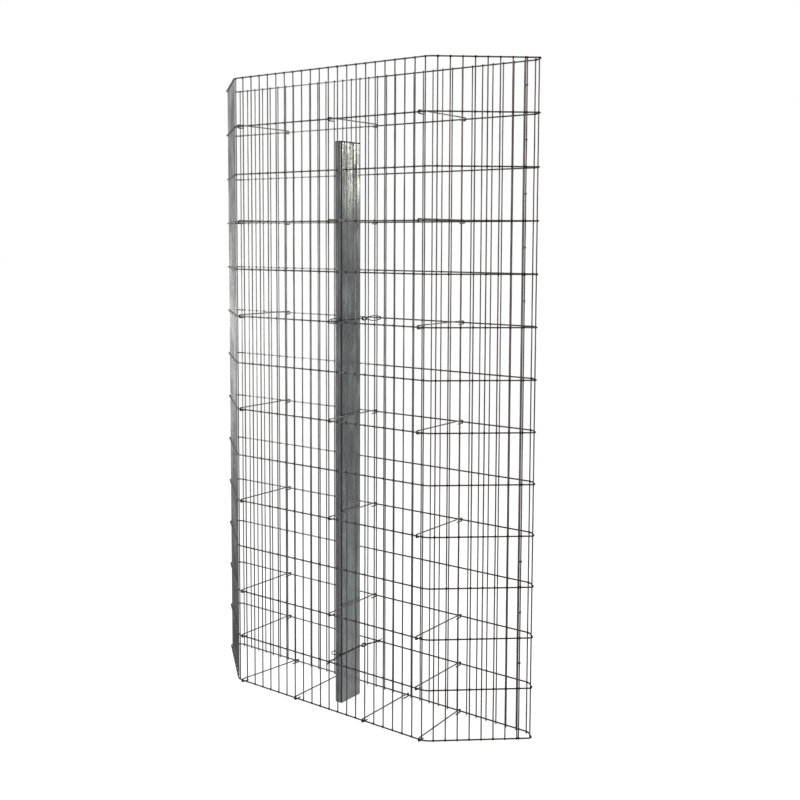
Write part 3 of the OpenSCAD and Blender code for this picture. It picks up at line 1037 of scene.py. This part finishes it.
def make_floor():
    mesh = bpy.data.meshes.new("floor")
    around = ((-1, -1), (1, -1), (1, 1), (-1, 1))
    corners = [(FLOOR_HALF * x, FLOOR_HALF * y, 0.0) for x, y in around]
    mesh.from_pydata(corners, [], [(0, 1, 2, 3)])
    floor = bpy.data.objects.new("floor", mesh)
    bpy.context.scene.collection.objects.link(floor)
    material = bpy.data.materials.new("floor_white")
    material.use_nodes = True
    tree = material.node_tree
    tree.nodes.clear()
    base = add(tree, "ShaderNodeBsdfDiffuse", {"Color": opaque([FLOOR_TONE] * 3)})
    lift = calc(tree, "MULTIPLY", seen_directly(tree), FLOOR_WHITE - FLOOR_TONE * SOFT_LIGHT)
    glow = add(tree, "ShaderNodeEmission", {"Color": (1.0, 1.0, 1.0, 1.0), "Strength": lift})
    both = add(tree, "ShaderNodeAddShader", {0: base.outputs[0], 1: glow.outputs[0]})
    out = tree.nodes.new("ShaderNodeOutputMaterial")
    tree.links.new(both.outputs[0], out.inputs["Surface"])
    mesh.materials.append(material)


def make_world():
    world = bpy.data.worlds.new("studio")
    world.use_nodes = True
    bpy.context.scene.world = world
    tree = world.node_tree
    background = tree.nodes["Background"]
    background.inputs["Color"].default_value = (1.0, 1.0, 1.0, 1.0)
    spare = calc(tree, "MULTIPLY", seen_directly(tree), 1.0 - SOFT_LIGHT)
    tree.links.new(calc(tree, "ADD", spare, SOFT_LIGHT), background.inputs["Strength"])


def softbox(name, place, target, width, height, power, color=(1.0, 1.0, 1.0)):
    light = bpy.data.lights.new(name, "AREA")
    light.color = color
    light.shape = "RECTANGLE"
    light.size = width
    light.size_y = height
    light.energy = power
    lamp = bpy.data.objects.new(name, light)
    lamp.location = place
    lamp.rotation_euler = (Vector(target) - Vector(place)).to_track_quat("-Z", "Y").to_euler()
    bpy.context.scene.collection.objects.link(lamp)


def make_camera():
    data = bpy.data.cameras.new("camera")
    data.sensor_width = SENSOR_WIDTH
    data.lens = FOCAL_PIXELS * SENSOR_WIDTH / IMAGE_SIZE
    data.shift_y = (OPTICAL_CENTRE_Y - IMAGE_SIZE / 2) / IMAGE_SIZE
    camera = bpy.data.objects.new("camera", data)
    turn = Matrix.Rotation(CAMERA_YAW, 4, "Z")
    tilt = Matrix.Rotation(math.pi / 2 - CAMERA_PITCH, 4, "X")
    roll = Matrix.Rotation(CAMERA_ROLL, 4, "Z")
    camera.matrix_world = Matrix.Translation(CAMERA_PLACE) @ turn @ tilt @ roll
    bpy.context.scene.collection.objects.link(camera)
    bpy.context.scene.camera = camera


make_floor()
make_world()
softbox("overhead", (0.0, 0.0, 4.0), (0.0, 0.0, 0.0), width=2.6, height=2.0, power=40.0)
softbox(
    "right_back",
    (2.20, 2.72, 2.03),
    (0.0, 0.0, 1.5),
    width=0.12,
    height=0.5,
    power=12.0,
    color=(1.0, 0.92, 0.75),
)
softbox("left_side", (-0.95, -0.45, 1.1), (-0.45, 0.0, 1.1), width=0.25, height=0.4, power=12.0)
softbox("front", (-0.2, -1.9, 2.0), (-0.1, 0.0, 1.5), width=0.6, height=0.6, power=18.0)
make_camera()
bpy.context.scene.view_settings.view_transform = "Standard"
